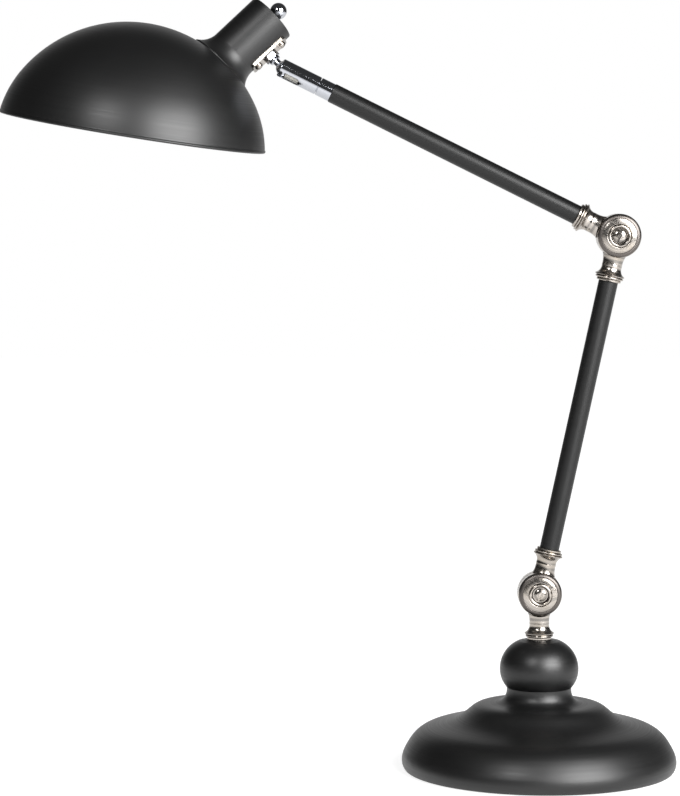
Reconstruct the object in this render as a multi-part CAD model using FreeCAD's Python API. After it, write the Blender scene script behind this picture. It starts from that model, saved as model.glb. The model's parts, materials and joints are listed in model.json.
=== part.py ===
import FreeCAD, Part
import math
import os

# Desk lamp: weighted base, two tubes joined by friction knuckles, ball joint and tilting head.
# Millimetres. The origin is on the table under the base's axis. The arms lie in the XZ plane,
# the head hangs towards -X, and the front of the lamp is -Y.

Vector = FreeCAD.Vector
Rotation = FreeCAD.Rotation
Placement = FreeCAD.Placement

ORIGIN = Vector(0, 0, 0)
UP = Vector(0, 0, 1)
TO_RIGHT = Vector(1, 0, 0)
TO_REAR = Vector(0, 1, 0)
FRONT = -1
REAR = 1

# --- Pose and main lengths -------------------------------------------------------------------
LOWER_PIVOT_HEIGHT = 146.4
LOWER_ARM_LENGTH = 301.0
LOWER_ARM_ANGLE = 12.1
UPPER_ARM_ANGLE = -63.6
BALL_DISTANCE = 305.5
HEAD_YAW = 16.85
HEAD_PITCH = 7.85
HEAD_ROLL = 5.4

# --- Base ------------------------------------------------------------------------------------
SHELL_BOTTOM = 1.0
SHELL_WALL = 1.4
SHELL_TOP = 68.4
WAIST_RADIUS = 26.6
BASE_BALL_RADIUS = 32.4
BASE_BALL_HEIGHT = 84.0
BALL_WALL = 3.0
BALL_TOP = LOWER_PIVOT_HEIGHT - 38.0
FELT_RADIUS = 106.5
FELT_THICKNESS = 2.0
PLATE_RADIUS = 109.2
PLATE_TOP = 3.4
WEIGHT_RADIUS = 96.0
WEIGHT_TOP = 17.0
WEIGHT_POCKET_TOP = 12.0
BOSS_RADIUS = 20.0
PLATE_SCREW_CIRCLE = 70.0
PLATE_SCREW_COUNT = 3
STEM_RADIUS = 5.0
STEM_BORE = 3.5
STEM_BOTTOM = 4.2
STEM_GRIP = 12.0
STEM_NUT_HEIGHT = 5.0
STEM_NUT_FLATS = 17.0
STEM_WASHER_RADIUS = 12.0
STEM_WASHER_THICKNESS = 1.6
INLET_HEIGHT = 11.0
INLET_RADIUS = 4.2
INLET_FLANGE_RADIUS = 5.8
INLET_BORE = 3.0
INLET_INNER_END = 107.7
INLET_OUTER_END = 115.2

# --- Knuckles --------------------------------------------------------------------------------
DISC_RADIUS = 18.0
DISC_GAP = 0.8
SWING_CLEARANCE = 0.8
SPOOL_LENGTH = 38.0
SPIGOT_LENGTH = 14.0
CORD_BORE = 3.0
CUP_RADIUS = 9.4
CUP_SEAT = 9.6
CUP_FLOOR = 10.6
NUT_POCKET_RADIUS = 7.2
NUT_POCKET_SEAT = 8.8
SPRING_WASHER_TOP = 10.2
PIVOT_NUT_TOP = 14.0
PIVOT_NUT_FLATS = 10.0
PIVOT_RADIUS = 3.0
PIVOT_BORE = 3.05
SCREW_SLOT_WIDTH = 1.4
SCREW_SLOT_ANGLE = 18.0

# --- Arms ------------------------------------------------------------------------------------
TUBE_RADIUS = 8.0
TUBE_BORE = 6.8
FERRULE_START = 261.3
FERRULE_RADIUS = 7.6
SLEEVE_START = 273.8
SLEEVE_END = 308.3
SLEEVE_RADIUS = 7.6
SLEEVE_BORE = 6.4
SLEEVE_LIP_BORE = 5.75
JOURNAL_RADIUS = 5.0
JOURNAL_BORE = 5.05
JOURNAL_END = 284.0
JOURNAL_WALL_END = 282.0
SLOT_WIDTH = 7.6
SLOT_LENGTH = 20.0
SEAT_START = 290.0
SEAT_END = 302.0
BALL_RADIUS = 6.2
BALL_CLEARANCE = 0.1
DISC_SPRING_COUNT = 3

# --- Head ------------------------------------------------------------------------------------
SHADE_HEIGHT = 88.4
SHADE_WALL = 1.1
CROWN_RADIUS = 113.0
CROWN_HALF_ANGLE = 57.4
SHOULDER_RADIUS = 90.5
RIM_BEAD_RADIUS = 1.2
DOME_CENTRE_DEPTH = 15.8
NECK_TILT = 38.9
NECK_RADIUS = 21.1
NECK_BORE = 19.3
NECK_END = 160.5
BRACKET_TURN = 28.6
BRACKET_AXIAL = 136.7
BRACKET_LENGTH = 36.0
BRACKET_WIDTH = 15.0
BRACKET_OUTER = 22.5
BRACKET_SCREW_SPACING = 25.6
BRACKET_SCREW_RADIUS = 1.7
STUD_REACH = 15.8
STUD_NECK_RADIUS = 3.0
STUD_JOURNAL_RADIUS = 4.0
STUD_JOURNAL_BORE = 4.05
STUD_THREAD_RADIUS = 3.6
STUD_BORE = 1.8
SADDLE_SEAT = 17.2
STUD_NUT_END = 12.2
HOLDER_RADIUS = 17.6
HOLDER_MOUTH = 86.0
HOLDER_STEP = 120.0
HOLDER_END = 127.0
SOCKET_RADIUS = 13.3
SOCKET_WALL = 0.6
SOCKET_BOTTOM = 110.0
SWITCH_RADIUS = 10.0
SWITCH_START = 134.0
CAP_INNER = 156.6
CAP_TOP = 160.5
KNOB_RADIUS = 6.9
KNOB_CENTRE = 167.7
KNOB_SHAFT_RADIUS = 2.5
KNOB_SHAFT_BORE = 2.55
KNOB_SHAFT_START = 146.0


# --- Drawing helpers -------------------------------------------------------------------------
def turned(outline):
    """Turn a closed outline of (radius, height) round the Z axis.

    A plain pair is a corner. A pair of pairs is an arc through the first point to the second.
    A list of pairs is a smooth curve through them all.
    """
    start = Vector(outline[0][0], 0, outline[0][1])
    here = start
    edges = []
    for step in outline[1:]:
        if isinstance(step, list):
            points = [here] + [Vector(radius, 0, height) for radius, height in step]
            curve = Part.BSplineCurve()
            curve.interpolate(points)
            edges.append(curve.toShape())
            end = points[-1]
        elif isinstance(step[0], tuple):
            middle = Vector(step[0][0], 0, step[0][1])
            end = Vector(step[1][0], 0, step[1][1])
            edges.append(Part.Arc(here, middle, end).toShape())
        else:
            end = Vector(step[0], 0, step[1])
            edges.append(Part.LineSegment(here, end).toShape())
        here = end
    edges.append(Part.LineSegment(here, start).toShape())
    solid = Part.Face(Part.Wire(edges)).revolve(ORIGIN, UP, 360)
    if solid.Volume < 0:
        solid.reverse()
    return solid


def moved_outline(outline, inwards, down):
    """The same outline with every point moved towards the axis and down."""
    result = []
    for step in outline:
        if isinstance(step[0], tuple):
            result.append(type(step)((r - inwards, z - down) for r, z in step))
        else:
            result.append((step[0] - inwards, step[1] - down))
    return result


def rod(radius, bottom, top):
    """A round bar on the Z axis."""
    return Part.makeCylinder(radius, top - bottom, Vector(0, 0, bottom))


def ring(inner, outer, bottom, top):
    """A flat ring on the Z axis."""
    return rod(outer, bottom, top).cut(rod(inner, bottom - 1, top + 1))


def hexagon(flats, bottom, top):
    """A hexagonal bar on the Z axis, measured across its flats."""
    corner = flats / math.sqrt(3)
    points = []
    for side in range(6):
        angle = math.radians(60 * side)
        points.append(Vector(corner * math.cos(angle), corner * math.sin(angle), bottom))
    points.append(points[0])
    return Part.Face(Part.makePolygon(points)).extrude(Vector(0, 0, top - bottom))


def hex_nut(flats, bore, bottom, top):
    """A hexagonal nut with its corners turned off."""
    corner = flats / math.sqrt(3)
    bevel = 0.12 * flats
    crown = turned([(0, bottom), (corner, bottom), (corner, top - bevel / 2),
                    (corner - bevel, top), (0, top)])
    return hexagon(flats, bottom, top).common(crown).cut(rod(bore, bottom - 1, top + 1))


def placed(shape, placement):
    """A copy of the shape, moved by the placement."""
    result = shape.copy()
    result.Placement = placement * shape.Placement
    return result


def along(direction, position=ORIGIN):
    """A placement that sends the Z axis along a direction."""
    return Placement(position, Rotation(UP, direction))


def arm_frame(position, angle):
    """A placement that leans the Z axis from upright towards +X by an angle in degrees."""
    return Placement(position, Rotation(TO_REAR, angle))


# --- Frames of the assembly ------------------------------------------------------------------
def arm_direction(angle):
    """The unit vector that leans towards +X from upright."""
    return Vector(math.sin(math.radians(angle)), 0, math.cos(math.radians(angle)))


LOWER_PIVOT = Vector(0, 0, LOWER_PIVOT_HEIGHT)
ELBOW = LOWER_PIVOT + arm_direction(LOWER_ARM_ANGLE) * LOWER_ARM_LENGTH
BALL_CENTRE = ELBOW + arm_direction(UPPER_ARM_ANGLE) * BALL_DISTANCE

BASE_KNUCKLE = arm_frame(LOWER_PIVOT, 180)
LOWER_ARM = arm_frame(LOWER_PIVOT, LOWER_ARM_ANGLE)
LOWER_ARM_TOP = arm_frame(ELBOW, LOWER_ARM_ANGLE + 180)
UPPER_ARM = arm_frame(ELBOW, UPPER_ARM_ANGLE)

# The head is drawn with the rim's centre at the origin and the shade's axis upright. The neck
# leans towards +X, and the bracket sits on it turned a little to the front of its lower side.
NECK = Placement(Vector(0, 0, -DOME_CENTRE_DEPTH), Rotation(TO_REAR, NECK_TILT))
BRACKET = NECK * Placement(Vector(0, 0, BRACKET_AXIAL), Rotation(UP, -BRACKET_TURN))
BRACKET_FACE = BRACKET * Placement(ORIGIN, Rotation(TO_REAR, 90))
BALL_IN_HEAD = BRACKET_FACE.multVec(Vector(0, 0, BRACKET_OUTER + STUD_REACH))
HEAD_TURN = Rotation(HEAD_YAW, HEAD_PITCH, HEAD_ROLL)
HEAD = Placement(BALL_CENTRE - HEAD_TURN.multVec(BALL_IN_HEAD), HEAD_TURN)

# The stud points from the ball to the neck. The sleeve is turned so that its slot is opposite
# the side to which the stud leans.
BRACKET_NORMAL = HEAD_TURN.multVec(BRACKET_FACE.Rotation.multVec(UP))
STUD = along(-BRACKET_NORMAL, BALL_CENTRE)
STUD_IN_ARM = UPPER_ARM.Rotation.inverted().multVec(-BRACKET_NORMAL)
SLOT_TURN = math.degrees(math.atan2(STUD_IN_ARM.y, STUD_IN_ARM.x)) + 180
SLEEVE = UPPER_ARM * Placement(ORIGIN, Rotation(UP, SLOT_TURN))


# --- Base ------------------------------------------------------------------------------------
# Up from the rim: dome, shallow valley, step with a rounded edge, flat top, flare and waist.
SHELL_OUTLINE = [
    (111.2, SHELL_BOTTOM),
    [
        (113.2, 5.5), (113.0, 11.0), (109.1, 20.0), (103.4, 28.0), (98.0, 32.4),
        (91.8, 35.3), (84.0, 37.3), (76.0, 39.2), (70.0, 41.2), (65.0, 43.8),
        (60.5, 47.0), (56.5, 50.4), (52.0, 53.3), (46.5, 54.8), (40.0, 55.2),
        (34.0, 56.0), (29.4, 58.6), (27.2, 62.6), (WAIST_RADIUS, SHELL_TOP),
    ],
]


def inlet_frame():
    """The cord inlet's frame: its axis points to the rear, out of the shell."""
    return along(TO_REAR, Vector(0, 0, INLET_HEIGHT))


def base_shell():
    """Spun cover: low dome, raised step and a short waist."""
    outer = turned(SHELL_OUTLINE + [(0, SHELL_TOP), (0, SHELL_BOTTOM)])
    inner_side = moved_outline(SHELL_OUTLINE, SHELL_WALL, SHELL_WALL)
    inner = turned(inner_side + [(0, SHELL_TOP - SHELL_WALL), (0, SHELL_BOTTOM - SHELL_WALL)])
    stem_hole = rod(STEM_RADIUS + 0.1, SHELL_TOP - 5, SHELL_TOP + 5)
    inlet_hole = placed(rod(INLET_RADIUS, 100, 120), inlet_frame())
    return outer.cut(inner).cut(stem_hole).cut(inlet_hole)


def base_ball():
    """Hollow ball on the waist, with a flat for the knuckle's foot."""
    outer = turned([
        (WAIST_RADIUS, SHELL_TOP),
        ((30.9, 75.4), (BASE_BALL_RADIUS, BASE_BALL_HEIGHT)),
        ((29.6, 95.4), (17.2, 106.9)),
        (11.0, BALL_TOP),
        (0, BALL_TOP),
        (0, SHELL_TOP),
    ])
    inner = turned([
        (WAIST_RADIUS - BALL_WALL, SHELL_TOP - 1),
        ((27.9, 75.6), (BASE_BALL_RADIUS - BALL_WALL, BASE_BALL_HEIGHT)),
        ((26.7, 93.8), (15.0, 104.0)),
        (0, 104.0),
        (0, SHELL_TOP - 1),
    ])
    return outer.cut(inner).cut(rod(STEM_RADIUS + 0.1, 100, BALL_TOP + 1))


def base_weight():
    """Cast disc with a boss that carries the stem's clamping force to the shell."""
    boss_top = SHELL_TOP - SHELL_WALL
    body = turned([
        (STEM_RADIUS + 0.1, WEIGHT_POCKET_TOP),
        (STEM_WASHER_RADIUS + 1.5, WEIGHT_POCKET_TOP),
        (STEM_WASHER_RADIUS + 1.5, PLATE_TOP),
        (WEIGHT_RADIUS, PLATE_TOP),
        (WEIGHT_RADIUS, WEIGHT_TOP - 3),
        (WEIGHT_RADIUS - 3, WEIGHT_TOP),
        (BOSS_RADIUS + 5, WEIGHT_TOP),
        (BOSS_RADIUS, WEIGHT_TOP + 5),
        (BOSS_RADIUS, boss_top),
        (STEM_RADIUS + 0.1, boss_top),
    ])
    for spot in plate_screw_spots():
        body = body.cut(placed(rod(1.95, 0, WEIGHT_POCKET_TOP + 0.5), spot))
    return body


def plate_screw_spots():
    """Placements of the screws that hold the bottom plate to the weight."""
    spots = []
    for index in range(PLATE_SCREW_COUNT):
        turn = Rotation(UP, 30 + 360 * index / PLATE_SCREW_COUNT)
        spots.append(Placement(turn.multVec(Vector(PLATE_SCREW_CIRCLE, 0, 0)), turn))
    return spots


def plate_screw_cone(clearance):
    """The countersunk screw's outline, or its hole when it has clearance."""
    return turned([
        (0, FELT_THICKNESS),
        (3.5 + clearance, FELT_THICKNESS),
        (1.9 + clearance, PLATE_TOP),
        (1.9 + clearance, WEIGHT_POCKET_TOP),
        (0, WEIGHT_POCKET_TOP),
    ])


def bottom_plate():
    """Steel disc that closes the base."""
    plate = rod(PLATE_RADIUS, FELT_THICKNESS, PLATE_TOP)
    for spot in plate_screw_spots():
        plate = plate.cut(placed(plate_screw_cone(0.05), spot))
    return plate


def plate_screws():
    """Countersunk screws, flush with the plate's underside."""
    return Part.makeCompound([placed(plate_screw_cone(0), spot) for spot in plate_screw_spots()])


def felt_pad():
    """Felt disc that the lamp stands on."""
    return rod(FELT_RADIUS, 0, FELT_THICKNESS)


def stem():
    """Threaded tube that pulls knuckle, ball, shell and weight together."""
    return ring(STEM_BORE, STEM_RADIUS, STEM_BOTTOM, BALL_TOP + STEM_GRIP)


def stem_washer():
    """Washer between the stem's nut and the weight."""
    top = WEIGHT_POCKET_TOP
    return ring(STEM_RADIUS + 0.1, STEM_WASHER_RADIUS, top - STEM_WASHER_THICKNESS, top)


def stem_nut():
    """Hexagonal nut on the stem's lower end."""
    top = WEIGHT_POCKET_TOP - STEM_WASHER_THICKNESS
    return hex_nut(STEM_NUT_FLATS, STEM_RADIUS, top - STEM_NUT_HEIGHT, top)


def inlet_bush():
    """Rubber bush of the cord inlet, in the rear of the shell, whose curve its groove follows."""
    body = turned([
        (INLET_BORE, INLET_INNER_END),
        (INLET_FLANGE_RADIUS, INLET_INNER_END),
        (INLET_FLANGE_RADIUS, INLET_INNER_END + 2.0),
        (INLET_RADIUS, INLET_INNER_END + 2.0),
        (INLET_RADIUS, INLET_OUTER_END - 1.8),
        (INLET_FLANGE_RADIUS, INLET_OUTER_END - 1.8),
        ((INLET_FLANGE_RADIUS - 0.4, INLET_OUTER_END - 0.4),
         (INLET_FLANGE_RADIUS - 1.4, INLET_OUTER_END)),
        (INLET_BORE, INLET_OUTER_END),
    ])
    return placed(body, inlet_frame()).cut(base_shell())


# --- Knuckles: the pivot is at the origin, the pivot axis is Y and the spool points along Z ---
def disc_outline(pocket_radius, pocket_seat):
    """Half of a knuckle from its middle plane outwards, with the pocket for the pivot's end."""
    return [
        (PIVOT_BORE, DISC_GAP / 2),
        (DISC_RADIUS - 0.5, DISC_GAP / 2),
        (DISC_RADIUS, DISC_GAP / 2 + 0.5),
        (DISC_RADIUS, 8.4),
        ((17.1, 10.4), (14.6, 11.5)),
        (14.3, 11.3),
        (14.0, 11.5),
        ((12.0, 12.0), (10.2, 12.2)),
        ((9.7, 12.1), (pocket_radius, 11.7)),
        (pocket_radius, pocket_seat),
        (PIVOT_BORE, pocket_seat),
    ]


def spool(bore, foot):
    """Turned neck between a knuckle and what it carries, with a waist, a lip and two rings."""
    return turned([
        (bore, 7.0),
        (9.6, 7.0),
        (9.6, 16.0),
        ((8.3, 21.0), (8.3, 25.0)),
        ((9.2, 30.0), (11.8, 32.4)),
        (12.1, 32.7),
        (12.1, 33.2),
        (11.2, 33.9),
        (10.5, 34.2),
        ((11.5, 34.9), (10.7, 35.7)),
        (9.6, 36.1),
        (10.0, 36.4),
        (10.0, 37.5),
        (9.5, SPOOL_LENGTH),
    ] + foot)


def knuckle_half(side, carried_bore):
    """Disc and spool in one casting. The half on the other side swings in a relief in the spool."""
    if side == FRONT:
        disc = turned(disc_outline(CUP_RADIUS, CUP_SEAT))
    else:
        disc = turned(disc_outline(NUT_POCKET_RADIUS, NUT_POCKET_SEAT))
    disc = placed(disc, along(Vector(0, side, 0)))
    if carried_bore:
        neck = spool(CORD_BORE, [(CORD_BORE, SPOOL_LENGTH)])
        neck = neck.cut(rod(carried_bore, SPOOL_LENGTH - STEM_GRIP, SPOOL_LENGTH + 1))
    else:
        spigot_end = SPOOL_LENGTH + SPIGOT_LENGTH
        neck = spool(CORD_BORE, [(TUBE_BORE, SPOOL_LENGTH), (TUBE_BORE, spigot_end),
                                 (CORD_BORE, spigot_end)])
    relief = Part.makeCylinder(DISC_RADIUS + SWING_CLEARANCE, 40,
                               Vector(0, side * DISC_GAP / 2, 0), Vector(0, -side, 0))
    inside = rod(DISC_RADIUS, NUT_POCKET_SEAT, 60)
    pocket = placed(rod(CUP_RADIUS, -1, 20), along(Vector(0, side, 0)))
    neck = neck.cut(relief).cut(pocket).common(inside)
    return disc.fuse(neck).removeSplitter()


def pivot_screw():
    """Slotted screw on the pivot axis, seen from the front."""
    head = turned([
        (0, CUP_FLOOR),
        (5.3, CUP_FLOOR),
        (5.3, 12.0),
        ((3.8, 12.9), (1.6, 13.2)),
        (0, 13.2),
    ])
    slot = Part.makeBox(20, SCREW_SLOT_WIDTH, 3, Vector(-10, -SCREW_SLOT_WIDTH / 2, 12.0))
    shank = rod(PIVOT_RADIUS, -PIVOT_NUT_TOP - 0.6, CUP_FLOOR + 0.5)
    return head.cut(slot).fuse(shank).removeSplitter()


def pivot_cup():
    """Cup washer that the screw's head sits in."""
    return turned([
        (PIVOT_BORE, CUP_SEAT),
        (CUP_RADIUS - 0.1, CUP_SEAT),
        (CUP_RADIUS - 0.1, 12.2),
        ((8.3, 13.4), (7.0, 12.6)),
        (6.4, 11.8),
        (6.2, CUP_FLOOR),
        (PIVOT_BORE, CUP_FLOOR),
    ])


def pivot_frame(position):
    """A pivot's frame: its Z axis points to the front, with the screw's slot near upright."""
    slot_turn = Rotation(UP, 90 - SCREW_SLOT_ANGLE)
    return along(Vector(0, FRONT, 0), position) * Placement(ORIGIN, slot_turn)


def on_pivots(shape):
    """The same piece on both pivots."""
    return Part.makeCompound([placed(shape, pivot_frame(spot)) for spot in (LOWER_PIVOT, ELBOW)])


def friction_washer():
    """Fibre washer between a knuckle's two halves."""
    return ring(PIVOT_BORE, 14.0, -DISC_GAP / 2, DISC_GAP / 2)


def spring_washer():
    """Spring washer under the pivot's nut, in the rear pocket."""
    return turned([
        (PIVOT_BORE, -NUT_POCKET_SEAT),
        (5.8, -NUT_POCKET_SEAT),
        (5.8, 0.4 - SPRING_WASHER_TOP),
        (4.6, -SPRING_WASHER_TOP),
        (PIVOT_BORE, -SPRING_WASHER_TOP),
    ])


def pivot_nut():
    """Hexagonal nut on the pivot's rear end."""
    nut = hex_nut(PIVOT_NUT_FLATS, PIVOT_RADIUS, SPRING_WASHER_TOP, PIVOT_NUT_TOP)
    return placed(nut, along(Vector(0, 0, -1)))


# --- Arms ------------------------------------------------------------------------------------
def arm_tube(start, end):
    """Painted steel tube between two fittings."""
    return ring(TUBE_BORE, TUBE_RADIUS, start, end)


def ferrule():
    """Chrome end of the upper tube, with the journal that the sleeve turns on."""
    return turned([
        (2.5, FERRULE_START - 12),
        (TUBE_BORE, FERRULE_START - 12),
        (TUBE_BORE, FERRULE_START),
        (FERRULE_RADIUS - 0.3, FERRULE_START),
        (FERRULE_RADIUS, FERRULE_START + 0.3),
        (FERRULE_RADIUS, SLEEVE_START - 0.8),
        (FERRULE_RADIUS - 0.4, SLEEVE_START - 0.4),
        (JOURNAL_RADIUS, SLEEVE_START - 0.4),
        (JOURNAL_RADIUS, JOURNAL_END),
        (2.5, JOURNAL_END),
    ])


def sleeve_retainer():
    """Ring on the journal's end that keeps the sleeve on."""
    return ring(JOURNAL_RADIUS, SLEEVE_BORE - 0.3, JOURNAL_WALL_END + 0.1, JOURNAL_END - 0.2)


def ball_sleeve():
    """Chrome sleeve with a lip that holds the ball, and a slot that lets the stud fold square."""
    body = turned([
        (JOURNAL_BORE, SLEEVE_START),
        (SLEEVE_RADIUS - 0.4, SLEEVE_START),
        (SLEEVE_RADIUS, SLEEVE_START + 0.4),
        (SLEEVE_RADIUS, SLEEVE_END - 1.4),
        ((SLEEVE_RADIUS - 0.4, SLEEVE_END - 0.4), (SLEEVE_RADIUS - 1.2, SLEEVE_END)),
        (SLEEVE_LIP_BORE, SLEEVE_END),
        (SLEEVE_BORE, SLEEVE_END - 2.0),
        (SLEEVE_BORE, JOURNAL_WALL_END),
        (JOURNAL_BORE, JOURNAL_WALL_END),
    ])
    slot_end = SLEEVE_END - SLOT_LENGTH + SLOT_WIDTH / 2
    straight = Part.makeBox(20, SLOT_WIDTH, SLOT_LENGTH,
                            Vector(0, -SLOT_WIDTH / 2, slot_end))
    round_end = Part.makeCylinder(SLOT_WIDTH / 2, 20, Vector(0, 0, slot_end), TO_RIGHT)
    return body.cut(straight).cut(round_end)


def ball_seat():
    """Plastic cup pressed on the ball's back."""
    body = ring(2.5, SLEEVE_BORE - BALL_CLEARANCE, SEAT_START, SEAT_END)
    return body.cut(Part.makeSphere(BALL_RADIUS + BALL_CLEARANCE, Vector(0, 0, BALL_DISTANCE)))


def disc_springs():
    """Stack of dished springs that press the seat on the ball."""
    pitch = (SEAT_START - JOURNAL_END - 0.2) / DISC_SPRING_COUNT
    springs = []
    for index in range(DISC_SPRING_COUNT):
        bottom = JOURNAL_END + 0.2 + pitch * index
        springs.append(turned([
            (3.4, bottom),
            (3.9, bottom),
            (6.0, bottom + pitch - 0.9),
            (6.0, bottom + pitch - 0.1),
            (5.6, bottom + pitch - 0.1),
            (3.4, bottom + 0.9),
        ]))
    return Part.makeCompound(springs)


def ball_stud():
    """Ball, neck, collar and hexagon, then the journal in the bracket and the thread."""
    neck_start = math.sqrt(BALL_RADIUS ** 2 - STUD_NECK_RADIUS ** 2)
    journal_end = STUD_REACH + BRACKET_OUTER - SADDLE_SEAT
    thread_end = STUD_REACH + BRACKET_OUTER - STUD_NUT_END + 0.6
    body = turned([
        (0, -BALL_RADIUS),
        ((BALL_RADIUS, 0), (STUD_NECK_RADIUS, neck_start)),
        (STUD_NECK_RADIUS, 8.4),
        (4.4, 8.8),
        (4.8, 9.2),
        (4.8, 11.3),
        (STUD_JOURNAL_RADIUS, 11.3),
        (STUD_JOURNAL_RADIUS, journal_end),
        (STUD_THREAD_RADIUS, journal_end),
        (STUD_THREAD_RADIUS, thread_end),
        (0, thread_end),
    ])
    body = body.fuse(hexagon(11.0, 11.3, STUD_REACH)).removeSplitter()
    return body.cut(rod(STUD_BORE, -BALL_RADIUS - 1, thread_end + 1))


def stud_nut():
    """Nut that keeps the stud in the bracket, inside the neck."""
    nut_start = STUD_REACH + BRACKET_OUTER - SADDLE_SEAT
    nut_end = STUD_REACH + BRACKET_OUTER - STUD_NUT_END
    return hex_nut(12.0, STUD_THREAD_RADIUS, nut_start, nut_end)


# --- Head, in its own frame ------------------------------------------------------------------
def polar(centre, radius, angle):
    """The point at a radius from a centre, at an angle in degrees from upright."""
    turn = math.radians(angle)
    return (centre[0] + radius * math.sin(turn), centre[1] + radius * math.cos(turn))


def dome_circles():
    """Centres of the crown's circle, on the axis, and of the shoulder's, which runs into it."""
    crown = (0, SHADE_HEIGHT - CROWN_RADIUS)
    return crown, polar(crown, CROWN_RADIUS - SHOULDER_RADIUS, CROWN_HALF_ANGLE)


def rim_radius(inset, height):
    """The dome's radius at a height near the rim, with its surface moved in by the inset."""
    shoulder = dome_circles()[1]
    return shoulder[0] + math.sqrt((SHOULDER_RADIUS - inset) ** 2 - (height - shoulder[1]) ** 2)


def dome(inset, bottom):
    """The shade's shape as a filled body, with its surface moved in by the inset."""
    crown, shoulder = dome_circles()
    rim = (rim_radius(inset, bottom), bottom)
    rim_angle = math.degrees(math.atan2(rim[0] - shoulder[0], rim[1] - shoulder[1]))
    shoulder_middle = (rim_angle + CROWN_HALF_ANGLE) / 2
    return turned([
        (0, bottom),
        rim,
        (polar(shoulder, SHOULDER_RADIUS - inset, shoulder_middle),
         polar(shoulder, SHOULDER_RADIUS - inset, CROWN_HALF_ANGLE)),
        (polar(crown, CROWN_RADIUS - inset, CROWN_HALF_ANGLE / 2),
         (0, SHADE_HEIGHT - inset)),
    ])


def dome_outside():
    """The dome up to the shade's painted outer face."""
    return dome(0, 0)


def dome_inside():
    """The shade's hollow."""
    return dome(SHADE_WALL, -1)


def shade():
    """Spun steel shade with a rolled rim and a hole for the neck."""
    bead = Part.makeTorus(rim_radius(RIM_BEAD_RADIUS / 2, 0), RIM_BEAD_RADIUS,
                          Vector(0, 0, RIM_BEAD_RADIUS / 2))
    neck_hole = placed(rod(NECK_BORE, 80, NECK_END), NECK)
    return dome_outside().cut(dome_inside()).fuse(bead).removeSplitter().cut(neck_hole)


def neck():
    """Cast neck with a flared foot that sits on the dome."""
    body = turned([
        (NECK_BORE, 95.0),
        (29.0, 95.0),
        (29.0, 102.2),
        ((23.2, 108.8), (NECK_RADIUS, 116.0)),
        (NECK_RADIUS, NECK_END - 0.9),
        ((NECK_RADIUS - 0.2, NECK_END - 0.2), (NECK_RADIUS - 0.8, NECK_END)),
        (NECK_BORE, NECK_END),
    ])
    body = placed(body, NECK).cut(dome_outside())
    stud_hole = placed(rod(STUD_JOURNAL_BORE, 10, 30), BRACKET_FACE)
    body = body.cut(stud_hole)
    for spot in bracket_screw_spots():
        body = body.cut(placed(rod(BRACKET_SCREW_RADIUS, 10, 30), spot))
    return body


def bracket_screw_spots():
    """Placements of the bracket's screws, beside the stud along the neck."""
    half = BRACKET_SCREW_SPACING / 2
    return [BRACKET_FACE * Placement(Vector(offset, 0, 0), Rotation(UP, 35))
            for offset in (-half, half)]


def bracket_plate():
    """Nickel plate with its underside shaped to the neck."""
    plate = Part.makeBox(BRACKET_LENGTH, BRACKET_WIDTH, 4,
                         Vector(-BRACKET_LENGTH / 2, -BRACKET_WIDTH / 2, BRACKET_OUTER - 4))
    corners = [edge for edge in plate.Edges if abs(edge.tangentAt(0).z) > 0.9]
    plate = placed(plate.makeFillet(2.5, corners), BRACKET_FACE)
    plate = plate.cut(placed(rod(NECK_RADIUS, 90, NECK_END + 40), NECK))
    plate = plate.cut(placed(rod(STUD_JOURNAL_BORE, 10, 30), BRACKET_FACE))
    for spot in bracket_screw_spots():
        plate = plate.cut(placed(rod(BRACKET_SCREW_RADIUS, 10, 30), spot))
    return plate


def bracket_screws():
    """Slotted pan-head screws that hold the bracket to the neck."""
    head_top = BRACKET_OUTER + 2.4
    screw = turned([
        (0, NECK_BORE - 3.2),
        (BRACKET_SCREW_RADIUS, NECK_BORE - 3.2),
        (BRACKET_SCREW_RADIUS, BRACKET_OUTER),
        (3.3, BRACKET_OUTER),
        (3.3, BRACKET_OUTER + 1.1),
        ((2.5, head_top - 0.4), (1.0, head_top)),
        (0, head_top),
    ])
    slot = Part.makeBox(10, 0.9, 2, Vector(-5, -0.45, head_top - 1.1))
    screw = screw.cut(slot)
    return Part.makeCompound([placed(screw, spot) for spot in bracket_screw_spots()])


def saddle_washer():
    """Washer with one side rounded to the neck's bore, under the stud's nut."""
    body = placed(ring(STUD_JOURNAL_BORE, 7.2, SADDLE_SEAT, NECK_BORE + 2), BRACKET_FACE)
    return body.common(placed(rod(NECK_BORE, 90, NECK_END), NECK))


def lampholder():
    """Holder for a screw-cap bulb, in the neck and reaching into the shade."""
    body = turned([
        (SOCKET_RADIUS + SOCKET_WALL, HOLDER_MOUTH),
        (HOLDER_RADIUS - 0.6, HOLDER_MOUTH),
        (HOLDER_RADIUS, HOLDER_MOUTH + 0.6),
        (HOLDER_RADIUS, HOLDER_STEP),
        (14.0, HOLDER_STEP + 3),
        (14.0, HOLDER_END),
        (1.5, HOLDER_END),
        (1.5, SOCKET_BOTTOM + 3),
        (SOCKET_RADIUS + SOCKET_WALL, SOCKET_BOTTOM + 3),
    ])
    return placed(body, NECK)


def socket_shell():
    """Brass screw shell in the lampholder."""
    wall = ring(SOCKET_RADIUS, SOCKET_RADIUS + SOCKET_WALL, HOLDER_MOUTH + 1.5, SOCKET_BOTTOM)
    return placed(wall, NECK)


def centre_contact():
    """Brass contact at the bottom of the socket."""
    body = turned([
        (0, SOCKET_BOTTOM + 0.4),
        (3.5, SOCKET_BOTTOM + 1.2),
        (5.0, SOCKET_BOTTOM + 3),
        (0, SOCKET_BOTTOM + 3),
    ])
    tail = rod(1.5, SOCKET_BOTTOM + 2.5, HOLDER_END + 2)
    return placed(body.fuse(tail).removeSplitter(), NECK)


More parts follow.
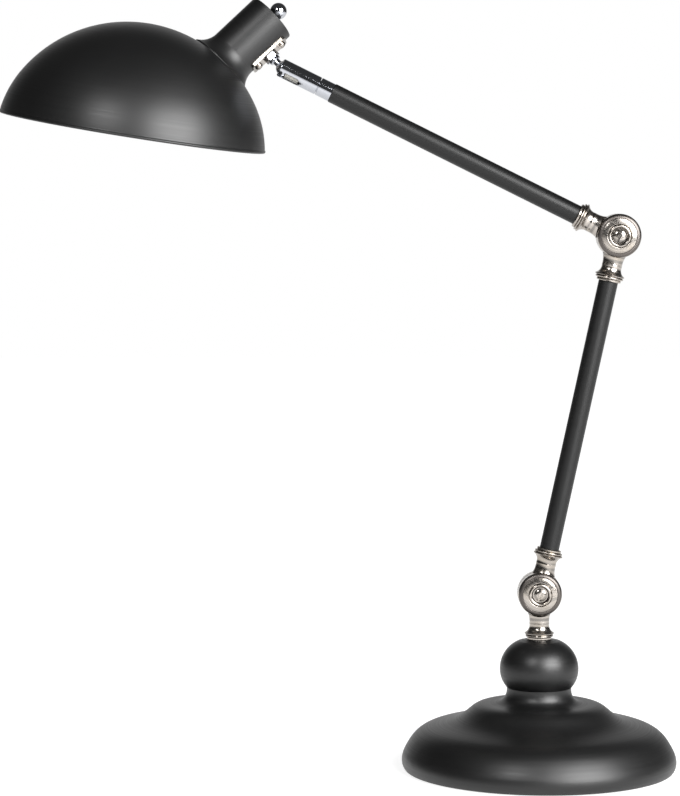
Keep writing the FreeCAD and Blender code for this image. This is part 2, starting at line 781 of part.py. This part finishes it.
def holder_ring():
    """Threaded ring that clamps shade and neck to the lampholder."""
    body = placed(ring(HOLDER_RADIUS, 24.0, 96.0, 108.0), NECK)
    return body.common(dome_inside())


def switch_body():
    """Rotary switch in the neck, with its bush through the cap."""
    body = rod(SWITCH_RADIUS, SWITCH_START, CAP_INNER)
    bush = rod(4.4, CAP_INNER - 1, CAP_TOP)
    body = body.fuse(bush).removeSplitter()
    return placed(body.cut(rod(KNOB_SHAFT_BORE, KNOB_SHAFT_START - 0.5, CAP_TOP + 1)), NECK)


def neck_cap():
    """Lid of the neck, a little crowned."""
    lid = turned([
        (4.4, CAP_INNER),
        (NECK_BORE, CAP_INNER),
        (NECK_BORE, NECK_END - 0.5),
        ((12.5, CAP_TOP - 0.3), (4.4, CAP_TOP)),
    ])
    return placed(lid, NECK)


def switch_knob():
    """Ball knob on the switch's shaft."""
    shaft = rod(KNOB_SHAFT_RADIUS, KNOB_SHAFT_START, KNOB_CENTRE - 4)
    ball = Part.makeSphere(KNOB_RADIUS, Vector(0, 0, KNOB_CENTRE))
    return placed(ball.fuse(shaft).removeSplitter(), NECK)


# --- Assembly --------------------------------------------------------------------------------
def pieces():
    """Every sub-part in its place, by name."""
    lower_tube_end = LOWER_ARM_LENGTH - SPOOL_LENGTH
    result = {
        "base_shell": base_shell(),
        "base_ball": base_ball(),
        "base_weight": base_weight(),
        "bottom_plate": bottom_plate(),
        "plate_screws": plate_screws(),
        "felt_pad": felt_pad(),
        "stem": stem(),
        "stem_washer": stem_washer(),
        "stem_nut": stem_nut(),
        "inlet_bush": inlet_bush(),
        "base_knuckle": placed(knuckle_half(REAR, STEM_RADIUS), BASE_KNUCKLE),
        "lower_arm_foot": placed(knuckle_half(FRONT, 0), LOWER_ARM),
        "lower_tube": placed(arm_tube(SPOOL_LENGTH, lower_tube_end), LOWER_ARM),
        "lower_arm_top": placed(knuckle_half(FRONT, 0), LOWER_ARM_TOP),
        "pivot_screws": on_pivots(pivot_screw()),
        "pivot_cups": on_pivots(pivot_cup()),
        "friction_washers": on_pivots(friction_washer()),
        "spring_washers": on_pivots(spring_washer()),
        "pivot_nuts": on_pivots(pivot_nut()),
        "upper_arm_foot": placed(knuckle_half(REAR, 0), UPPER_ARM),
        "upper_tube": placed(arm_tube(SPOOL_LENGTH, FERRULE_START), UPPER_ARM),
        "ferrule": placed(ferrule(), UPPER_ARM),
        "sleeve_retainer": placed(sleeve_retainer(), UPPER_ARM),
        "ball_sleeve": placed(ball_sleeve(), SLEEVE),
        "ball_seat": placed(ball_seat(), SLEEVE),
        "disc_springs": placed(disc_springs(), SLEEVE),
        "ball_stud": placed(ball_stud(), STUD),
        "stud_nut": placed(stud_nut(), STUD),
    }
    head_pieces = {
        "bracket_plate": bracket_plate(),
        "bracket_screws": bracket_screws(),
        "saddle_washer": saddle_washer(),
        "neck": neck(),
        "neck_cap": neck_cap(),
        "shade": shade(),
        "lampholder": lampholder(),
        "socket_shell": socket_shell(),
        "centre_contact": centre_contact(),
        "holder_ring": holder_ring(),
        "switch_body": switch_body(),
        "switch_knob": switch_knob(),
    }
    for name, shape in head_pieces.items():
        result[name] = placed(shape, HEAD)
    return result


def main():
    """Write each sub-part to its own file."""
    os.makedirs("parts", exist_ok=True)
    for name, shape in pieces().items():
        print(name, "solids", len(shape.Solids), "volume", round(shape.Volume), shape.isValid())
        shape.exportStep("parts/" + name + ".step")
    print("ball centre", BALL_CENTRE, "elbow", ELBOW)
    print("stud direction", -BRACKET_NORMAL, "slot turn", round(SLOT_TURN, 2))
    print("neck axis", (HEAD * NECK).Rotation.multVec(UP))


main()
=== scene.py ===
import json
import math

import bmesh
import bpy
from mathutils import Euler, Matrix, Vector


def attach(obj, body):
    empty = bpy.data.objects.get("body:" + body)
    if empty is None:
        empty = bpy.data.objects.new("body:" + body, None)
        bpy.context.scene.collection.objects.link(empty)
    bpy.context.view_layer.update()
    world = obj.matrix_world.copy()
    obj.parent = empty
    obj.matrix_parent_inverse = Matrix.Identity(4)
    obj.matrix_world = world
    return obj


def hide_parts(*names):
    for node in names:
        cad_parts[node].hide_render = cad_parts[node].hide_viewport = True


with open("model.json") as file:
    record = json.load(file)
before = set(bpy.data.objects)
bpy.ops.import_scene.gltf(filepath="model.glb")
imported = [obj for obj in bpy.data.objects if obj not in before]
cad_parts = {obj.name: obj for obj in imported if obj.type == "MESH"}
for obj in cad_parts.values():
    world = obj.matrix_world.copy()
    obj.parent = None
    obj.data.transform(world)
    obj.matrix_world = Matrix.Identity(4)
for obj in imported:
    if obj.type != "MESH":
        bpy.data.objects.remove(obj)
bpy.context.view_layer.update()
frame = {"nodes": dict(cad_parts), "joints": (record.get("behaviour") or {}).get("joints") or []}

# Desk lamp: weighted base, two tubes on friction knuckles, ball joint, tilting dome shade.
# Metres and degrees. The front is -Y, the head hangs towards -X, and the table is at Z = 0.

MM = 0.001

# --- Camera: the photograph's frame is 680 x 796 pixels ---------------------------------------
IMAGE_HEIGHT_PX = 796
FOCAL_LENGTH_PX = 2825
SENSOR_HEIGHT_MM = 36.0
CAMERA_PLACE = (-0.1645, -2.3125, 0.4715)
CAMERA_DOWN_ANGLE = 4.05

# --- Shade, in its own frame: the rim's centre is the origin and the axis is Z -----------------
RIM_CENTRE = Vector((-0.332744, -0.011108, 0.525044))
HEAD_YAW = 16.85
HEAD_PITCH = 7.85
HEAD_ROLL = 5.4
SHADE_HEIGHT = 88.4 * MM
SHADE_WALL = 1.1 * MM
CROWN_RADIUS = 113.0 * MM
CROWN_HALF_ANGLE = 57.4
SHOULDER_RADIUS = 90.5 * MM
RIM_BEAD_RADIUS = 1.2 * MM
DOME_CENTRE_DEPTH = 15.8 * MM
NECK_TILT = 38.9
NECK_BORE = 19.3 * MM
HOLE_CUTTER_MIDDLE = 105 * MM
HOLE_CUTTER_LENGTH = 80 * MM
HOLE_STEPS = 96
ROUND_STEPS = 192
CROWN_STEPS = 56
SHOULDER_STEPS = 36
BEAD_STEPS = 20
RIM_TOP = 1.35 * RIM_BEAD_RADIUS

HEAD = Matrix.Translation(RIM_CENTRE) @ Euler(
    (math.radians(HEAD_ROLL), math.radians(HEAD_PITCH), math.radians(HEAD_YAW))).to_matrix().to_4x4()
NECK = HEAD @ Matrix.Translation((0, 0, -DOME_CENTRE_DEPTH)) @ Matrix.Rotation(
    math.radians(NECK_TILT), 4, "Y")

# Black enamel, with a weaker gloss on the tubes.
ENAMEL_DARK = 0.0025
ENAMEL_LIGHT = 0.0038
ENAMEL_SPECULAR = 0.6
TUBE_SPECULAR = 0.4

# Dull band on the knuckles' discs, as radii from the pivot.
BAND_INNER = 14.2 * MM
BAND_OUTER = 17.7 * MM
BAND_EDGE = 0.3 * MM

# Studio: the floor glows for the camera and for mirrors, more so far out.
FLOOR_SIZE = 12.0
FLOOR_GREY = 0.5
FLOOR_GLOW_NEAR = 0.80
FLOOR_GLOW_FAR = 1.0
GLOW_NEAR_DISTANCE = 0.5
GLOW_FAR_DISTANCE = 1.8
ROOM_LEVEL = 0.06
BACKDROP_EDGE = 0.75
BACKDROP_FULL = 0.97
LAMP_TARGET = Vector((-0.15, 0.0, 0.36))
LAMP_DISTANCE = 2.0

JOINTS = {joint["name"]: joint for joint in frame["joints"]}
LOWER_PIVOT = Vector(JOINTS["lower_knuckle"]["pos_m"])
ELBOW = Vector(JOINTS["elbow"]["pos_m"])
BALL = Vector(JOINTS["head_tilt"]["pos_m"])
STUD_AXIS = Vector(JOINTS["head_spin"]["axis"])
UP = Vector((0, 0, 1))
LOWER_ARM_AXIS = (ELBOW - LOWER_PIVOT).normalized()
UPPER_ARM_AXIS = (BALL - ELBOW).normalized()
SHADE_AXIS = (HEAD.to_3x3() @ UP).normalized()
NECK_AXIS = (NECK.to_3x3() @ UP).normalized()
PIVOT_AXIS = Vector((0, 1, 0))


# --- Node helpers ------------------------------------------------------------------------------
def add(tree, kind, inputs=None, **settings):
    """Add a shader node. Its inputs are given by name or number, as a value or another socket."""
    made = tree.nodes.new(kind)
    for key, value in settings.items():
        setattr(made, key, value)
    for key, value in (inputs or {}).items():
        if isinstance(value, bpy.types.NodeSocket):
            tree.links.new(value, made.inputs[key])
        else:
            made.inputs[key].default_value = value
    return made


def principled(name, metallic, specular=0.5):
    """A new material, its tree and its shader."""
    material = bpy.data.materials.new(name)
    material.use_nodes = True
    shader = material.node_tree.nodes["Principled BSDF"]
    shader.inputs["Metallic"].default_value = metallic
    shader.inputs["Specular IOR Level"].default_value = specular
    return material, material.node_tree, shader


def place(tree):
    """The surface point in the frame of the lamp at rest."""
    return add(tree, "ShaderNodeTexCoord").outputs["Object"]


def noise(tree, vector, scale, detail=3.0, roughness=0.55):
    """Cloudy noise between 0 and 1, with its scale in cycles per metre."""
    made = add(tree, "ShaderNodeTexNoise",
               {"Vector": vector, "Scale": scale, "Detail": detail, "Roughness": roughness})
    return made.outputs["Fac"]


def spread(tree, value, low, high, to_low, to_high):
    """The value's range from low to high, stretched to another range and held at its ends."""
    made = add(tree, "ShaderNodeMapRange",
               {"Value": value, "From Min": low, "From Max": high,
                "To Min": to_low, "To Max": to_high})
    return made.outputs["Result"]


def arithmetic(tree, operation, first, second):
    """Two numbers put together."""
    return add(tree, "ShaderNodeMath", {0: first, 1: second}, operation=operation).outputs[0]


def blended(tree, factor, first, second):
    """A colour between two colours."""
    made = add(tree, "ShaderNodeMix", data_type="RGBA")
    for socket, value in ((made.inputs[0], factor), (made.inputs[6], first), (made.inputs[7], second)):
        if isinstance(value, bpy.types.NodeSocket):
            tree.links.new(value, socket)
        else:
            socket.default_value = value
    return made.outputs[2]


def grey(level, warmth=0.0):
    """A grey, a little warmer for a positive warmth."""
    return (level * (1 + warmth), level, level * (1 - warmth), 1)


def along_profile(tree, centre, axis):
    """Distance run along a turned piece's profile, so that its level lines are rings."""
    offset = add(tree, "ShaderNodeVectorMath", {0: place(tree), 1: tuple(centre)},
                 operation="SUBTRACT").outputs["Vector"]
    height = add(tree, "ShaderNodeVectorMath", {0: offset, 1: tuple(axis)},
                 operation="DOT_PRODUCT").outputs["Value"]
    lifted = add(tree, "ShaderNodeVectorMath", {0: tuple(axis), "Scale": height},
                 operation="SCALE").outputs["Vector"]
    flat = add(tree, "ShaderNodeVectorMath", {0: offset, 1: lifted},
               operation="SUBTRACT").outputs["Vector"]
    radius = add(tree, "ShaderNodeVectorMath", {0: flat}, operation="LENGTH").outputs["Value"]
    return arithmetic(tree, "SUBTRACT", radius, height)


def rings(tree, centre, axis, per_metre, detail=1.5):
    """Fine uneven rings round an axis, between 0 and 1."""
    run = along_profile(tree, centre, axis)
    return add(tree, "ShaderNodeTexNoise", {"W": run, "Scale": per_metre, "Detail": detail},
               noise_dimensions="1D").outputs["Fac"]


def bump(tree, shader, height, distance, strength=1.0):
    """Raise the surface by up to the distance where the height is 1."""
    made = add(tree, "ShaderNodeBump",
               {"Height": height, "Distance": distance, "Strength": strength})
    tree.links.new(made.outputs["Normal"], shader.inputs["Normal"])


# --- Materials ---------------------------------------------------------------------------------
def enamel(name, centre, axis, specular=ENAMEL_SPECULAR, ring_share=1.0):
    """Black satin enamel over spun or drawn metal, whose faint rings may show through."""
    material, tree, shader = principled(name, 0.0, specular)
    spun = rings(tree, centre, axis, 600.0)
    cloud = noise(tree, place(tree), 14.0)
    peel = noise(tree, place(tree), 600.0, 1.0)
    dust = spread(tree, noise(tree, place(tree), 2600.0, 1.0), 0.78, 0.83, 0.0, 0.15)
    tone = blended(tree, cloud, grey(ENAMEL_DARK, -0.04), grey(ENAMEL_LIGHT, -0.02))
    tree.links.new(blended(tree, dust, tone, grey(0.06)), shader.inputs["Base Color"])
    sheen = arithmetic(tree, "ADD", spread(tree, spun, 0.3, 0.7, 0.40, 0.46),
                       spread(tree, cloud, 0.3, 0.7, -0.02, 0.03))
    tree.links.new(sheen, shader.inputs["Roughness"])
    height = arithmetic(tree, "ADD", arithmetic(tree, "MULTIPLY", spun, ring_share),
                        arithmetic(tree, "MULTIPLY", peel, 0.2))
    bump(tree, shader, height, 0.01 * MM)
    return material


def white_enamel(name):
    """White satin enamel for the inside of the shade, yellowed a little in cloudy patches."""
    material, tree, shader = principled(name, 0.0)
    spun = rings(tree, RIM_CENTRE, SHADE_AXIS, 500.0)
    cloud = noise(tree, place(tree), 25.0)
    tree.links.new(blended(tree, cloud, (0.80, 0.79, 0.75, 1), (0.70, 0.68, 0.62, 1)),
                   shader.inputs["Base Color"])
    tree.links.new(spread(tree, spun, 0.3, 0.7, 0.38, 0.48), shader.inputs["Roughness"])
    bump(tree, shader, spun, 0.02 * MM)
    return material


def dull_outer_band(tree, centre):
    """1 on the dull outer band of a knuckle's disc, and 0 elsewhere."""
    offset = add(tree, "ShaderNodeVectorMath", {0: place(tree), 1: tuple(centre)},
                 operation="SUBTRACT").outputs["Vector"]
    flat = add(tree, "ShaderNodeVectorMath", {0: offset, 1: (1, 0, 1)},
               operation="MULTIPLY").outputs["Vector"]
    radius = add(tree, "ShaderNodeVectorMath", {0: flat}, operation="LENGTH").outputs["Value"]
    inside = spread(tree, radius, BAND_INNER - BAND_EDGE, BAND_INNER, 0.0, 1.0)
    outside = spread(tree, radius, BAND_OUTER - BAND_EDGE, BAND_OUTER, 1.0, 0.0)
    return arithmetic(tree, "MULTIPLY", inside, outside)


def nickel(name, centre, axis, colour=(0.44, 0.405, 0.37), roughness=0.2, banded=False):
    """Polished nickel plate with turning marks round an axis and a faint tarnish."""
    material, tree, shader = principled(name, 1.0)
    turned = rings(tree, centre, axis, 900.0)
    streak = rings(tree, centre, axis, 260.0, 2.0)
    cloud = noise(tree, place(tree), 90.0)
    smear = noise(tree, place(tree), 420.0, 4.0, 0.65)
    clean = (*colour, 1)
    tarnished = (colour[0] * 0.80, colour[1] * 0.77, colour[2] * 0.70, 1)
    tone = blended(tree, spread(tree, cloud, 0.42, 0.72, 0.0, 0.8), clean, tarnished)
    tone = blended(tree, spread(tree, streak, 0.48, 0.62, 0.0, 0.7), tone, grey(0.15, 0.05))
    marks = arithmetic(tree, "ADD", spread(tree, turned, 0.3, 0.7, roughness - 0.03, roughness + 0.05),
                       spread(tree, smear, 0.45, 0.7, 0.0, 0.08))
    if banded:
        # A darker, duller band on the outer part of each disc, at fixed radii from the pivot.
        band = dull_outer_band(tree, centre)
        tone = blended(tree, band, tone, (0.12, 0.108, 0.10, 1))
        marks = arithmetic(tree, "MAXIMUM", marks, arithmetic(tree, "MULTIPLY", band, 0.38))
    tree.links.new(tone, shader.inputs["Base Color"])
    tree.links.new(marks, shader.inputs["Roughness"])
    bump(tree, shader, turned, 0.0006 * MM)
    return material


def chrome(name, centre, axis):
    """Bright chrome plate with faint polishing lines and finger smears."""
    material, tree, shader = principled(name, 1.0)
    polish = rings(tree, centre, axis, 1200.0)
    smear = noise(tree, place(tree), 150.0, 4.0, 0.6)
    tree.links.new(blended(tree, smear, (0.40, 0.415, 0.45, 1), (0.52, 0.53, 0.56, 1)),
                   shader.inputs["Base Color"])
    tree.links.new(spread(tree, smear, 0.4, 0.75, 0.06, 0.14), shader.inputs["Roughness"])
    bump(tree, shader, polish, 0.0004 * MM)
    return material


def plain_steel(name, dark=(0.52, 0.53, 0.53), light=(0.70, 0.69, 0.66)):
    """Dull plated or oiled steel with a cloudy grain."""
    material, tree, shader = principled(name, 1.0)
    grain = noise(tree, place(tree), 700.0, 4.0, 0.7)
    cloud = noise(tree, place(tree), 60.0)
    tree.links.new(blended(tree, cloud, (*dark, 1), (*light, 1)),
                   shader.inputs["Base Color"])
    tree.links.new(spread(tree, grain, 0.3, 0.7, 0.30, 0.48), shader.inputs["Roughness"])
    bump(tree, shader, grain, 0.02 * MM)
    return material


def cast_iron(name):
    """Rough iron casting with rusty patches."""
    material, tree, shader = principled(name, 0.6)
    pits = noise(tree, place(tree), 450.0, 5.0, 0.7)
    rust = spread(tree, noise(tree, place(tree), 30.0), 0.55, 0.7, 0.0, 0.8)
    tree.links.new(blended(tree, rust, grey(0.09), (0.16, 0.07, 0.035, 1)),
                   shader.inputs["Base Color"])
    tree.links.new(spread(tree, pits, 0.3, 0.7, 0.55, 0.8), shader.inputs["Roughness"])
    bump(tree, shader, pits, 0.25 * MM)
    return material


def felt(name):
    """Dark felt, with loose fibres in its colour and bump."""
    material, tree, shader = principled(name, 0.0, 0.2)
    fibres = noise(tree, place(tree), 1800.0, 5.0, 0.75)
    cloud = noise(tree, place(tree), 45.0)
    tree.links.new(blended(tree, arithmetic(tree, "MULTIPLY", fibres, cloud),
                           grey(0.02), grey(0.13, 0.03)), shader.inputs["Base Color"])
    shader.inputs["Roughness"].default_value = 0.95
    shader.inputs["Sheen Weight"].default_value = 0.3
    bump(tree, shader, fibres, 0.3 * MM)
    return material


def moulded(name, colour, low, high, grain_depth, specular=0.5):
    """Moulded plastic or rubber with a fine grain and roughness between low and high."""
    material, tree, shader = principled(name, 0.0, specular)
    grain = noise(tree, place(tree), 1500.0, 3.0)
    cloud = noise(tree, place(tree), 80.0)
    darker = (colour[0] * 0.75, colour[1] * 0.75, colour[2] * 0.75, 1)
    tree.links.new(blended(tree, cloud, (*colour, 1), darker), shader.inputs["Base Color"])
    tree.links.new(spread(tree, grain, 0.3, 0.7, low, high), shader.inputs["Roughness"])
    bump(tree, shader, grain, grain_depth)
    return material


def brass(name):
    """Plain brass, browned in patches."""
    material, tree, shader = principled(name, 1.0)
    cloud = noise(tree, place(tree), 130.0, 4.0, 0.6)
    lines = rings(tree, NECK.translation, NECK_AXIS, 1500.0)
    tree.links.new(blended(tree, spread(tree, cloud, 0.4, 0.7, 0.0, 1.0),
                           (0.80, 0.61, 0.29, 1), (0.50, 0.34, 0.15, 1)),
                   shader.inputs["Base Color"])
    tree.links.new(spread(tree, cloud, 0.3, 0.7, 0.2, 0.38), shader.inputs["Roughness"])
    bump(tree, shader, lines, 0.02 * MM)
    return material


def give(material, *names):
    """Paint CAD nodes with a material."""
    for name in names:
        slots = frame["nodes"][name].data.materials
        if len(slots) == 0:
            slots.append(material)
        for index in range(len(slots)):
            frame["nodes"][name].material_slots[index].link = "OBJECT"
            frame["nodes"][name].material_slots[index].material = material


def paint_nodes():
    """Give every CAD node that shows its material."""
    base = Vector((0, 0, 0))
    give(enamel("base_enamel", base, UP), "base_shell", "base_ball")
    give(enamel("lower_tube_enamel", LOWER_PIVOT, LOWER_ARM_AXIS, TUBE_SPECULAR, 0.0),
         "lower_tube")
    give(enamel("upper_tube_enamel", ELBOW, UPPER_ARM_AXIS, TUBE_SPECULAR, 0.0), "upper_tube")
    give(enamel("neck_enamel", NECK.translation, NECK_AXIS), "neck", "neck_cap")
    give(nickel("base_knuckle_nickel", LOWER_PIVOT, UP, banded=True), "base_knuckle")
    give(nickel("lower_foot_nickel", LOWER_PIVOT, LOWER_ARM_AXIS, banded=True), "lower_arm_foot")
    give(nickel("lower_top_nickel", ELBOW, LOWER_ARM_AXIS, banded=True), "lower_arm_top")
    give(nickel("upper_foot_nickel", ELBOW, UPPER_ARM_AXIS, banded=True), "upper_arm_foot")
    give(nickel("pivot_nickel", LOWER_PIVOT, PIVOT_AXIS, roughness=0.16), "pivot_screws", "pivot_cups")
    give(nickel("bracket_nickel", BALL, STUD_AXIS, roughness=0.18), "bracket_plate", "bracket_screws")
    give(chrome("sleeve_chrome", BALL, UPPER_ARM_AXIS), "ferrule", "ball_sleeve")
    give(chrome("stud_chrome", BALL, STUD_AXIS), "ball_stud")
    give(chrome("knob_chrome", NECK.translation, NECK_AXIS), "switch_knob")
    give(plain_steel("zinc_plate"), "bottom_plate", "plate_screws", "stem", "stem_washer", "stem_nut",
         "spring_washers", "pivot_nuts", "stud_nut",
         "saddle_washer", "holder_ring")
    give(plain_steel("oiled_steel", (0.06, 0.055, 0.05), (0.10, 0.09, 0.08)),
         "sleeve_retainer", "disc_springs")
    give(cast_iron("weight_iron"), "base_weight")
    give(felt("pad_felt"), "felt_pad")
    give(moulded("bush_rubber", (0.03, 0.03, 0.03), 0.6, 0.75, 0.03 * MM, 0.3), "inlet_bush")
    give(moulded("washer_fibre", (0.16, 0.11, 0.08), 0.7, 0.9, 0.08 * MM, 0.3), "friction_washers")
    give(moulded("seat_plastic", (0.72, 0.70, 0.64), 0.45, 0.6, 0.02 * MM), "ball_seat")
    give(moulded("switch_plastic", (0.05, 0.05, 0.05), 0.45, 0.6, 0.02 * MM), "switch_body")
    give(moulded("holder_phenolic", (0.035, 0.03, 0.028), 0.16, 0.26, 0.008 * MM), "lampholder")
    give(brass("holder_brass"), "socket_shell", "centre_contact")


# --- Shade -------------------------------------------------------------------------------------
def polar(centre, radius, angle):
    """The point at a radius from a centre, at an angle in degrees from upright."""
    turn = math.radians(angle)
    return (centre[0] + radius * math.sin(turn), centre[1] + radius * math.cos(turn))


def dome_profile(inset, bottom):
    """Points from the crown down to the bottom height, with the surface moved in by the inset."""
    crown = (0.0, SHADE_HEIGHT - CROWN_RADIUS)
    shoulder = polar(crown, CROWN_RADIUS - SHOULDER_RADIUS, CROWN_HALF_ANGLE)
    radius = SHOULDER_RADIUS - inset
    last_angle = 180 - math.degrees(math.acos((shoulder[1] - bottom) / radius))
    points = []
    for step in range(CROWN_STEPS):
        points.append(polar(crown, CROWN_RADIUS - inset, CROWN_HALF_ANGLE * step / CROWN_STEPS))
    for step in range(SHOULDER_STEPS + 1):
        angle = CROWN_HALF_ANGLE + (last_angle - CROWN_HALF_ANGLE) * step / SHOULDER_STEPS
        points.append(polar(shoulder, radius, angle))
    return points


def rim_bead(outer_end, inner_end):
    """Points round the rolled rim, from the dome's outer face to its inner face."""
    middle = ((outer_end[0] + inner_end[0]) / 2, RIM_BEAD_RADIUS / 2)
    start = math.degrees(math.atan2(outer_end[0] - middle[0], outer_end[1] - middle[1]))
    stop = 360 + math.degrees(math.atan2(inner_end[0] - middle[0], inner_end[1] - middle[1]))
    return [polar(middle, RIM_BEAD_RADIUS, start + (stop - start) * step / BEAD_STEPS)
            for step in range(BEAD_STEPS + 1)]


def turned_mesh(name, profile, first_inner):
    """Turn a profile that starts and ends on the axis, with a second material from an index on."""
    mesh = bmesh.new()
    rings_of_points = []
    for radius, height in profile:
        if radius < 1e-7:
            rings_of_points.append([mesh.verts.new((0, 0, height))])
            continue
        ring = []
        for step in range(ROUND_STEPS):
            turn = 2 * math.pi * step / ROUND_STEPS
            ring.append(mesh.verts.new((radius * math.cos(turn), radius * math.sin(turn), height)))
        rings_of_points.append(ring)
    for index in range(len(profile) - 1):
        upper, lower = rings_of_points[index], rings_of_points[index + 1]
        for step in range(ROUND_STEPS):
            after = (step + 1) % ROUND_STEPS
            corners = []
            for ring, spots in ((upper, (after, step)), (lower, (step, after))):
                corners += [ring[0]] if len(ring) == 1 else [ring[spot] for spot in spots]
            face = mesh.faces.new(corners)
            face.smooth = True
            face.material_index = int(index >= first_inner)
    bmesh.ops.recalc_face_normals(mesh, faces=mesh.faces)
    data = bpy.data.meshes.new(name)
    mesh.to_mesh(data)
    mesh.free()
    piece = bpy.data.objects.new(name, data)
    bpy.context.scene.collection.objects.link(piece)
    return piece


def cut_neck_hole(piece):
    """Cut the neck's hole through the dome."""
    bpy.ops.mesh.primitive_cylinder_add(vertices=HOLE_STEPS, radius=NECK_BORE,
                                        depth=HOLE_CUTTER_LENGTH)
    cutter = bpy.context.active_object
    cutter.data.transform(NECK @ Matrix.Translation((0, 0, HOLE_CUTTER_MIDDLE)))
    cut = piece.modifiers.new("neck_hole", "BOOLEAN")
    cut.operation = "DIFFERENCE"
    cut.object = cutter
    cut.solver = "EXACT"
    bpy.context.view_layer.objects.active = piece
    bpy.ops.object.modifier_apply(modifier=cut.name)
    bpy.data.objects.remove(cutter)


def make_shade():
    """The dome shade: black outside and on its rim, white inside."""
    outer = dome_profile(0.0, RIM_TOP)
    inner = dome_profile(SHADE_WALL, RIM_TOP)
    bead = rim_bead(outer[-1], inner[-1])
    profile = outer + bead[1:-1] + inner[::-1]
    piece = turned_mesh("shade_dome", profile, len(outer) + len(bead) - 3)
    piece.data.transform(HEAD)
    piece.data.materials.append(enamel("shade_enamel", RIM_CENTRE, SHADE_AXIS))
    piece.data.materials.append(white_enamel("shade_inside_enamel"))
    cut_neck_hole(piece)
    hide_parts("shade")
    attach(piece, "head")
    return piece


# --- Studio ------------------------------------------------------------------------------------
def seen_directly(tree):
    """1 for rays from the camera, a mirror or glass, and 0 for light that falls on things."""
    path = add(tree, "ShaderNodeLightPath")
    mirrored = arithmetic(tree, "MAXIMUM", path.outputs["Is Glossy Ray"],
                          path.outputs["Is Transmission Ray"])
    return arithmetic(tree, "MAXIMUM", path.outputs["Is Camera Ray"], mirrored)


def make_floor():
    """White floor that keeps a faint shadow. It is whiter far out, where it meets the backdrop."""
    bpy.ops.mesh.primitive_plane_add(size=FLOOR_SIZE)
    floor = bpy.context.active_object
    floor.name = "studio_floor"
    material, tree, shader = principled("floor_white", 0.0, 0.0)
    shader.inputs["Base Color"].default_value = grey(FLOOR_GREY)
    shader.inputs["Roughness"].default_value = 1.0
    shader.inputs["Emission Color"].default_value = (1, 1, 1, 1)
    distance = add(tree, "ShaderNodeVectorMath", {0: place(tree)},
                   operation="LENGTH").outputs["Value"]
    level = spread(tree, distance, GLOW_NEAR_DISTANCE, GLOW_FAR_DISTANCE,
                   FLOOR_GLOW_NEAR, FLOOR_GLOW_FAR)
    glow = arithmetic(tree, "MULTIPLY", seen_directly(tree), level)
    tree.links.new(glow, shader.inputs["Emission Strength"])
    floor.data.materials.append(material)


def make_world():
    """White for the camera. In mirrors it is white straight behind the lamp and dark elsewhere."""
    world = bpy.data.worlds.new("studio")
    bpy.context.scene.world = world
    world.use_nodes = True
    tree = world.node_tree
    tree.nodes.clear()
    direction = add(tree, "ShaderNodeTexCoord").outputs["Generated"]
    split = add(tree, "ShaderNodeSeparateXYZ", {0: direction})
    room = spread(tree, split.outputs["Y"], BACKDROP_EDGE, BACKDROP_FULL, ROOM_LEVEL, 1.0)
    path = add(tree, "ShaderNodeLightPath")
    level = arithmetic(tree, "MAXIMUM", path.outputs["Is Camera Ray"], room)
    background = add(tree, "ShaderNodeBackground", {"Color": (1, 1, 1, 1), "Strength": level})
    output = add(tree, "ShaderNodeOutputWorld")
    tree.links.new(background.outputs[0], output.inputs["Surface"])


def softbox(name, direction, width, height, watts):
    """Rectangular lamp that faces the middle of the desk lamp."""
    light = bpy.data.lights.new(name, "AREA")
    light.shape = "RECTANGLE"
    light.size = width
    light.size_y = height
    light.energy = watts
    holder = bpy.data.objects.new(name, light)
    bpy.context.scene.collection.objects.link(holder)
    heading = Vector(direction).normalized()
    holder.location = LAMP_TARGET + heading * LAMP_DISTANCE
    holder.rotation_euler = heading.to_track_quat("Z", "Y").to_euler()


def make_camera():
    """The photograph's viewpoint."""
    camera = bpy.data.cameras.new("camera")
    camera.sensor_fit = "VERTICAL"
    camera.sensor_height = SENSOR_HEIGHT_MM
    camera.lens = FOCAL_LENGTH_PX * SENSOR_HEIGHT_MM / IMAGE_HEIGHT_PX
    holder = bpy.data.objects.new("camera", camera)
    bpy.context.scene.collection.objects.link(holder)
    holder.location = CAMERA_PLACE
    holder.rotation_euler = (math.radians(90 - CAMERA_DOWN_ANGLE), 0, 0)
    bpy.context.scene.camera = holder


make_camera()
make_world()
make_floor()
softbox("key_right", (0.6, -0.7, 0.35), 1.5, 1.3, 84)
softbox("fill_left", (-0.32, -0.77, 0.53), 0.5, 0.5, 15)
paint_nodes()
make_shade()
bpy.context.scene.view_settings.view_transform = "Standard"
